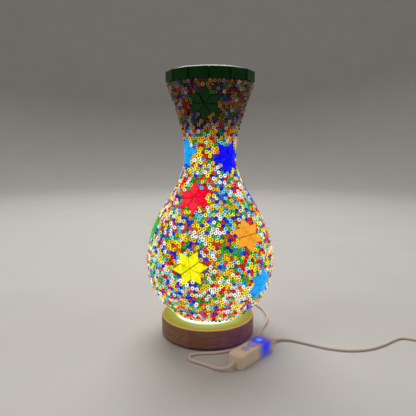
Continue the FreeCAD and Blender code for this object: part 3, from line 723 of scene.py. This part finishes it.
def add_beads(surface):
    places = bead_places(surface)
    s = surface.nearest(places)
    _, height, along_r, along_z = surface.at(s)
    azimuth = np.arctan2(places[:, 1], places[:, 0])
    outward = np.column_stack([along_z * np.cos(azimuth), along_z * np.sin(azimuth), -along_r])
    clusters = []
    for turn, z, radius, kind, extra in CLUSTERS:
        at = float(np.interp(z, surface.line[:, 1], surface.s))
        spot = surface.place(np.array([math.radians(turn - 90)]), np.array([at]))[0]
        clusters.append((spot, radius, kind, extra))
    turns, kinds, levels, tints = [], [], [], []
    for i, place in enumerate(places):
        on_side = rng.random() < ON_SIDE
        turns.append(bead_turn(Vector(outward[i]), on_side))
        lift = BEAD / 2 - BEAD_SUNK if on_side else BEAD_LENGTH / 2
        places[i] = place + outward[i] * (lift + rng.uniform(*BEAD_LIFT))
        kinds.append(pick_colour(place, clusters))
        glow = glow_at(height[i]) * rng.uniform(*GLOW_SPREAD)
        level = glow ** 0.8 * (GLOW_LEVELS - 1) + rng.uniform(-0.5, 0.5)
        levels.append(min(GLOW_LEVELS - 1, max(0, round(level))))
        tints.append(rng.randrange(TINTS))
    turns, cache = np.array(turns), {}
    for kind in BEADS:
        chosen = np.array([i for i, k in enumerate(kinds) if k == kind])
        parts = math.ceil(len(chosen) / MAX_BEADS_IN_PIECE)
        for part, group in enumerate(np.array_split(chosen, parts)):
            lay_beads(f"beads_{kind}_{part + 1}", kind, places[group], turns[group],
                      [levels[i] for i in group], [tints[i] for i in group], cache)
    print("beads:", len(places), "materials:", len(cache))


# ---- glue film ---------------------------------------------------------------
GLUE_SIDES = 260
GLUE_ROW = 1.6
GLUE_ENDS = (0.4, 0.1)   # the film stops this short of the CAD coat's lower and upper edges
GLUE_INSIDE = 0.55       # thickness of the film


def glue_material():
    """Clear glue between the beads, dark with dust and with painted shade of the beads round it."""
    material, tree, shader = new_material("glue", Roughness=0.35)
    place = place_in_frame(tree)
    patches = noise(tree, place, 160, 2.0)
    # painted shade: the dark base colour stands in for the shade between the beads
    tint = ramp(tree, patches, [(0.35, (0.010, 0.008, 0.003)), (0.5, (0.026, 0.019, 0.005)),
                                (0.65, (0.017, 0.020, 0.006))])
    tree.links.new(tint, shader.inputs["Base Color"])
    lit = ramp(tree, patches, [(0.35, (0.16, 0.095, 0.01)), (0.5, (0.30, 0.20, 0.02)),
                               (0.65, (0.16, 0.19, 0.03))])
    tree.links.new(lit, shader.inputs["Emission Color"])
    strength = maths(tree, "MULTIPLY", glow_node(tree, place, GLUE_FADE), 0.34)
    tree.links.new(strength, shader.inputs["Emission Strength"])
    add_bump(tree, shader, noise(tree, place, 500), 0.5, 0.0003)
    return material


def bead_backs_material():
    """What shows through the glass from inside: the flat backs of the beads, lit from below."""
    material, tree, shader = new_material("bead_backs", Roughness=0.4)
    place = place_in_frame(tree)
    cells = node(tree, "TexVoronoi", [("Vector", place), ("Scale", 240.0), ("Randomness", 0.8)])
    pick = coordinate(tree, cells.outputs["Color"], "X")
    total, at, stops = sum(share for _, share in BEADS.values()), 0.0, []
    for colour, share in BEADS.values():
        stops.append((at / total, scaled(screen(*colour), 0.8)))
        at += share
    # painted shade: each bead back darkens towards its edge, where it meets its neighbours
    edge = spread(tree, cells.outputs["Distance"], 0.30, 0.62, 1.0, 0.25)
    colour = mixed(tree, 1.0, ramp(tree, pick, stops, "CONSTANT"), edge, "MULTIPLY")
    tree.links.new(colour, shader.inputs["Base Color"])
    tree.links.new(colour, shader.inputs["Emission Color"])
    strength = maths(tree, "MULTIPLY", glow_node(tree, place, BEAD_FADE), 0.7)
    tree.links.new(strength, shader.inputs["Emission Strength"])
    return material


def add_glue(surface):
    """Thin closed film under the beads: bumpy outside, flat bead backs showing inside."""
    low, high = GLUE_ENDS[0], surface.s[-1] - GLUE_ENDS[1]
    rows = int((high - low) / GLUE_ROW)
    outer, inner = [], []
    for row in range(rows + 1):
        radius, height, along_r, along_z = surface.at(low + (high - low) * row / rows)
        outer.append((radius, height))
        inner.append((radius - along_z * GLUE_INSIDE, height + along_r * GLUE_INSIDE))
    outline = outer + inner[::-1]
    points, faces, slots = [], [], []
    for radius, height in outline:
        for i in range(GLUE_SIDES):
            turn = 2 * math.pi * i / GLUE_SIDES
            points.append((radius * math.cos(turn) * MM, radius * math.sin(turn) * MM, height * MM))
    for ring in range(len(outline)):
        above = (ring + 1) % len(outline)
        for i in range(GLUE_SIDES):
            j = (i + 1) % GLUE_SIDES
            faces.append((ring * GLUE_SIDES + i, ring * GLUE_SIDES + j,
                          above * GLUE_SIDES + j, above * GLUE_SIDES + i))
            slots.append(0 if ring < len(outer) else 1)
    mesh = bpy.data.meshes.new("glue_film")
    mesh.from_pydata(points, [], faces)
    mesh.materials.append(glue_material())
    mesh.materials.append(bead_backs_material())
    mesh.polygons.foreach_set("material_index", slots)
    smooth_shaded(mesh)
    film = add_object("glue_film", mesh)
    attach(film, "vase")
    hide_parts("glue_coat")


# ---- glass tiles and the vase's own glass ------------------------------------
# lit colour and strength of the stars of each colour
STARS = {"green": ((30, 190, 36), 0.95), "sky": ((10, 172, 255), 0.92),
         "cobalt": ((4, 4, 248), 1.0), "red": ((255, 0, 50), 0.95),
         "orange": ((255, 168, 44), 0.98), "yellow": ((255, 246, 4), 1.0)}
RIM_GREEN = (10, 126, 30)
SEAM = 1.3               # how far into a seam the shade between two tiles reaches


def tile_material(name, colour, strength, body=(0.03, 0.08)):
    """Sheet glass with fine streaks and a rolled, uneven face, lit from behind low on the vase."""
    lit = screen(*colour)
    material, tree, shader = new_material(name, Roughness=0.24, Specular_IOR_Level=0.16)
    place = place_in_frame(tree)
    streaks = noise(tree, stretched(tree, place, 260, 900, 420, (0.4, 0.9, 0.3)), 1.0, 4.0, 0.6)
    cloud = noise(tree, place, 130, 2.0)
    tone = blend(tree, streaks, 0.65, cloud, 0.35)
    tree.links.new(ramp(tree, tone, [(0.35, scaled(lit, body[0])), (0.65, scaled(lit, body[1]))]),
                   shader.inputs["Base Color"])
    glowing = ramp(tree, tone, [(0.36, scaled(lit, 0.66)), (0.52, lit),
                                (0.66, tuple(c * 0.97 + 0.03 for c in lit))])
    tree.links.new(glowing, shader.inputs["Emission Color"])
    # painted shade: the glow dims where ambient occlusion finds the seams between tiles and the
    # beads round a star
    shade = node(tree, "AmbientOcclusion", [("Distance", SEAM * MM)]).outputs["AO"]
    seam_shade = spread(tree, shade, 0.25, 0.62, 0.3, strength)
    tree.links.new(maths(tree, "MULTIPLY", glow_node(tree, place, TILE_FADE), seam_shade),
                   shader.inputs["Emission Strength"])
    add_bump(tree, shader, streaks, 0.35, 0.0003)
    return material


def finish_tiles():
    for colour, (lit, strength) in STARS.items():
        names = [n for n in nodes if n.startswith("star_" + colour)]
        give(tile_material(f"{colour}_tile", lit, strength), *names)
    give(tile_material("rim_tile", RIM_GREEN, 1.0, body=(0.08, 0.20)), "rim_tiles")


def finish_glass():
    """Clear glass, bright at the foot and along the lip where light leaves it."""
    material, tree, shader = new_material(
        "clear_glass", Base_Color=(0.96, 1.0, 0.97), Transmission_Weight=1.0, Roughness=0.03,
        IOR=1.48, Emission_Color=(0.93, 1.0, 0.86))
    place = place_in_frame(tree)
    height = coordinate(tree, place, "Z")
    low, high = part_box("glass_vase")
    lip = spread(tree, height, high.z - 3 * MM, high.z - 0.6 * MM, 0.0, 0.22)
    foot = spread(tree, height, low.z + 3 * MM, low.z + 9 * MM, 0.62, 0.0)
    tree.links.new(maths(tree, "ADD", lip, foot), shader.inputs["Emission Strength"])
    add_bump(tree, shader, noise(tree, place, 25, 1.0), 0.08, 0.002)
    give(material, "glass_vase")


# ---- wooden base and diffuser ------------------------------------------------
SPILL_PLACE = (40.0, -46.0, 18.0)  # where the dimmer's light falls on the base
SPILL_REACH = (0.012, 0.058)       # metres
SPILL_COLOUR = (0.070, 0.008, 0.080, 1)
POOL_REACH = (0.033, 0.050)        # radii of the pool of lamp light on the base's top, metres


def wood_material():
    """Turned wood with a straight grain, lit green and gold by the vase above it."""
    material, tree, shader = new_material("turned_wood")
    place = place_in_frame(tree)
    low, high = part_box("wood_base")
    centre = (low + high) / 2 / MM
    wander = noise(tree, stretched(tree, place, 8, 60, 60), 1.0, 3.0)
    shift = node(tree, "CombineXYZ", [("Y", maths(tree, "MULTIPLY", wander, 0.012)),
                                      ("Z", maths(tree, "MULTIPLY", wander, 0.010))]).outputs[0]
    warped = node(tree, "VectorMath", [(0, place), (1, shift)], operation="ADD").outputs[0]
    grain = noise(tree, stretched(tree, warped, 14, 420, 420), 1.0, 5.0, 0.62)
    pores = noise(tree, stretched(tree, place, 90, 2600, 2600), 1.0, 2.0, 0.5)
    tone = blend(tree, grain, 0.75, pores, 0.25)
    colour = ramp(tree, tone, [(0.30, (0.155, 0.066, 0.035)), (0.47, (0.270, 0.123, 0.065)),
                               (0.60, (0.357, 0.170, 0.092)), (0.75, (0.435, 0.222, 0.126))])
    tree.links.new(colour, shader.inputs["Base Color"])
    tree.links.new(spread(tree, tone, 0.3, 0.7, 0.62, 0.42, smooth=False),
                   shader.inputs["Roughness"])
    level = coordinate(tree, place, "Z")
    flat_place = stretched(tree, place, 1, 1, 0)
    radius = distance_to(tree, flat_place, (centre.x, centre.y, 0))
    top = spread(tree, level, high.z - 1.6 * MM, high.z - 0.3 * MM)
    pool = ramp(tree, spread(tree, radius, *POOL_REACH, smooth=False),
                [(0.0, (0.56, 0.70, 0.18)), (0.22, (0.20, 0.37, 0.03)), (0.62, (0.19, 0.27, 0.02)),
                 (0.86, (0.24, 0.18, 0.015)), (0.95, (0.50, 0.36, 0.03)),
                 (1.0, (0.50, 0.36, 0.03))])
    near = spread(tree, distance_to(tree, place, SPILL_PLACE), *SPILL_REACH, 1.0, 0.0)
    spill = maths(tree, "MULTIPLY", near, maths(tree, "SUBTRACT", 1.0, top))
    tree.links.new(mixed(tree, top, SPILL_COLOUR, pool), shader.inputs["Emission Color"])
    tree.links.new(blend(tree, top, 0.9, spill, 0.34), shader.inputs["Emission Strength"])
    add_bump(tree, shader, tone, 0.25, 0.0003)
    return material


def diffuser_material():
    """Opal acrylic disc, lit by the board under it, brightest over the middle ring of lamps."""
    material, tree, shader = new_material("diffuser", Roughness=0.35,
                                          Emission_Color=(1.0, 0.985, 0.90))
    place = place_in_frame(tree)
    centre = middle("diffuser") / MM
    radius = distance_to(tree, stretched(tree, place, 1, 1, 0), (centre.x, centre.y, 0))
    tree.links.new(spread(tree, radius, 0.020, 0.034, 1.2, 0.68),
                   shader.inputs["Emission Strength"])
    tree.links.new(mottled(tree, place, (0.80, 0.80, 0.78), 300, 0.02), shader.inputs["Base Color"])
    return material


# ---- dimmer ------------------------------------------------------------------
CASE_COLOUR = (0.94, 0.71, 0.54)
LED_BLUE = (0.01, 0.025, 0.95)
PAINTED_KEY_LIGHT = (0.02, 0.03, 0.24, 1)      # painted light: the blue the case's colour turns to where the power key's light fills it
SHINE_REACH = (0.0015, 0.0160)     # metres
SHINE_ON_TOP = 0.80
ICON_PROUD = 0.06        # icons stand this far off the key
ICON_LINE = 0.55
ICON_REACH = 2.2
# each key's cap colour with painted blue light from its lamp in it (most in the power key), the
# colour it glows in, and how strongly it and its icon glow
KEYS = {"power": ((0.08, 0.12, 0.42), (0.03, 0.07, 0.95), 0.85, 1.1),
        "brighter": ((0.42, 0.34, 0.52), (0.16, 0.10, 0.80), 0.26, 0.40),
        "dimmer": ((0.60, 0.49, 0.52), (0.16, 0.10, 0.80), 0.06, 0.18)}


def along_case():
    """Unit vector along the dimmer, from the lamp's end to the plug's end."""
    return (middle("switch_sleeve_out") - middle("switch_sleeve_in")).normalized()


def reach_from_power(tree, place):
    """Distance from the power key, in metres; across the dimmer and downwards it counts half."""
    along = along_case()
    across = Vector((-along.y, along.x, 0)) * 0.5
    offset = node(tree, "VectorMath", [(0, place), (1, middle("key_power"))], operation="SUBTRACT")
    down = Vector((0, 0, 0.5))
    parts = [node(tree, "VectorMath", [(0, offset.outputs["Vector"]), (1, axis)],
                  operation="DOT_PRODUCT").outputs["Value"] for axis in (along, across, down)]
    first, second, third = [maths(tree, "MULTIPLY", part, part) for part in parts]
    return maths(tree, "SQRT", maths(tree, "ADD", maths(tree, "ADD", first, second), third))


def case_material():
    """Warm white moulded shell with the blue light of the power key shining through it."""
    material, tree, shader = new_material("switch_case", Roughness=0.42, Specular_IOR_Level=0.25,
                                          Emission_Color=LED_BLUE)
    place = place_in_frame(tree)
    reach = reach_from_power(tree, place)
    plain = mottled(tree, place, CASE_COLOUR, 90, 0.03)
    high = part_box("switch_case_top")[1].z
    wall = spread(tree, coordinate(tree, place, "Z"), high - 1.6 * MM, high - 0.2 * MM, 1.0,
                  SHINE_ON_TOP)
    shine = maths(tree, "MULTIPLY", spread(tree, reach, *SHINE_REACH, 1.0, 0.0), wall)
    # painted light: the base colour turns towards the blue as far as the power key's light reaches
    key_light_share = spread(tree, shine, 0.0, 0.85, smooth=False)
    tree.links.new(mixed(tree, key_light_share, plain, PAINTED_KEY_LIGHT), shader.inputs["Base Color"])
    strength = maths(tree, "MULTIPLY", maths(tree, "POWER", shine, 1.9), 0.90)
    tree.links.new(strength, shader.inputs["Emission Strength"])
    add_bump(tree, shader, noise(tree, place, 3500), 0.10, 0.0002)
    return material


def key_material(kind):
    """Soft translucent cap over its own small lamp."""
    colour, glow, strength, _ = KEYS[kind]
    material, tree, shader = new_material(f"key_cap_{kind}", Emission_Color=glow, Roughness=0.45,
                                          Emission_Strength=strength, Specular_IOR_Level=0.3)
    place = place_in_frame(tree)
    # painted light: part of the cap's base colour is the blue of its own lamp
    tree.links.new(mottled(tree, place, colour, 300, 0.05), shader.inputs["Base Color"])
    add_bump(tree, shader, noise(tree, place, 3000), 0.10, 0.0002)
    return material


def icon_strokes(kind):
    """Strokes of a key's icon as lists of flat points, in millimetres."""
    reach = ICON_REACH
    if kind == "power":
        arc = [math.radians(125 + 290 * i / 20) for i in range(21)]
        ring = [(reach * 0.86 * math.cos(a), reach * 0.86 * math.sin(a)) for a in arc]
        return [ring, [(0, reach * 0.15), (0, reach * 1.12)]]
    if kind == "brighter":
        return [[(-reach, 0), (reach, 0)], [(0, -reach), (0, reach)]]
    return [[(-reach, 0), (reach, 0)]]


def add_icon(kind):
    """Printed icon on a key: flat strokes, a little proud of the cap."""
    key = f"key_{kind}"
    along = along_case()
    across = Vector((0, 0, 1)).cross(along)
    centre = middle(key)
    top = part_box(key)[1].z
    work = bmesh.new()
    for stroke in icon_strokes(kind):
        for (ax, ay), (bx, by) in zip(stroke, stroke[1:]):
            length = math.hypot(bx - ax, by - ay)
            turn = Matrix.Rotation(math.atan2(by - ay, bx - ax), 4, "Z")
            shift = Matrix.Translation(((ax + bx) / 2, (ay + by) / 2, 0))
            made = bmesh.ops.create_cube(work, size=1.0)["verts"]
            size = Matrix.Diagonal((length + ICON_LINE, ICON_LINE, ICON_PROUD * 2, 1))
            bmesh.ops.transform(work, matrix=shift @ turn @ size, verts=made)
    bmesh.ops.scale(work, vec=(MM, MM, MM), verts=work.verts)
    frame_turn = Matrix((across, -along, (0, 0, 1))).transposed().to_4x4()
    # the icons read from the side that faces the user, with the lamp behind the dimmer
    bmesh.ops.transform(work, verts=work.verts,
                        matrix=Matrix.Translation((centre.x, centre.y, top)) @ frame_turn)
    mesh = bpy.data.meshes.new(f"icon_{kind}")
    work.to_mesh(mesh)
    work.free()
    mesh.materials.append(icon_material(kind))
    icon = add_object(f"icon_{kind}", mesh)
    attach(icon, key)


def icon_material(kind):
    """See-through print, lit from inside the key."""
    material, tree, shader = new_material(f"icon_{kind}", Emission_Color=(0.13, 0.50, 1.0),
                                          Emission_Strength=KEYS[kind][3])
    place = place_in_frame(tree)
    tree.links.new(mottled(tree, place, (0.12, 0.14, 0.42), 900, 0.1), shader.inputs["Base Color"])
    return material


def finish_dimmer():
    give(case_material(), "switch_case_top", "switch_case_bottom")
    for kind in KEYS:
        give(key_material(kind), f"key_{kind}")
        add_icon(kind)


# ---- the small stock parts ---------------------------------------------------
def finish_stock():
    black = finish_of("black_plastic", (0.020, 0.020, 0.022), 0.55, grain=700, bump=0.2)
    give(black, "bottom_cover")
    give(finish_of("foot_rubber", (0.035, 0.034, 0.033), 0.85, grain=1200, bump=0.35), "foot_pads")
    steel = finish_of("steel_screw", (0.56, 0.56, 0.58), 0.28, metallic=1.0, grain=1500, bump=0.1)
    give(steel, "cover_screws", "board_screws")
    board = finish_of("circuit_board", (0.66, 0.68, 0.66), 0.4, grain=400, mottle=0.03, coat=0.3)
    give(board, "led_board", "switch_board")
    give(lamp_chip_material(), "led_chips", "indicator_led")
    part = finish_of("component", (0.030, 0.030, 0.034), 0.45, grain=1500)
    give(part, "board_resistors", "control_chip", "tact_switches")
    give(finish_of("plunger", (0.55, 0.50, 0.42), 0.5), *[f"plunger_{kind}" for kind in KEYS])
    sleeve = finish_of("cord_sleeve", (0.84, 0.67, 0.56), 0.5, grain=900, bump=0.15)
    give(sleeve, "cord_sleeve", "switch_sleeve_in", "switch_sleeve_out", "usb_body")
    wire = finish_of("wire_jacket", (0.50, 0.05, 0.04), 0.45, grain=1500)
    give(wire, "lead_wires", "switch_leads")
    strap = finish_of("coil_tie", (0.10, 0.10, 0.11), 0.9, grain=1400, bump=0.6)
    give(strap, "coil_tie", "cable_tie")
    shell = finish_of("usb_steel", (0.50, 0.50, 0.51), 0.42, metallic=1.0, grain=1200, bump=0.08)
    give(shell, "usb_shell")
    give(finish_of("usb_tongue", (0.80, 0.80, 0.78), 0.45, grain=900), "usb_tongue")
    give(finish_of("usb_gold", (0.85, 0.62, 0.25), 0.22, metallic=1.0, grain=1500), "usb_contacts")
    give(cord_material(), "cord_inside")


def lamp_chip_material():
    """Phosphor face of a lamp chip, lit."""
    material, tree, shader = new_material("led", Emission_Color=(1.0, 0.93, 0.70),
                                          Emission_Strength=2.0)
    place = place_in_frame(tree)
    tree.links.new(mottled(tree, place, (0.85, 0.75, 0.35), 900, 0.1), shader.inputs["Base Color"])
    return material


add_camera()
add_cords()
add_stage()
vase_surface = Surface()
add_glue(vase_surface)
add_beads(vase_surface)
finish_tiles()
finish_glass()
give(wood_material(), "wood_base")
give(diffuser_material(), "diffuser")
finish_dimmer()
finish_stock()
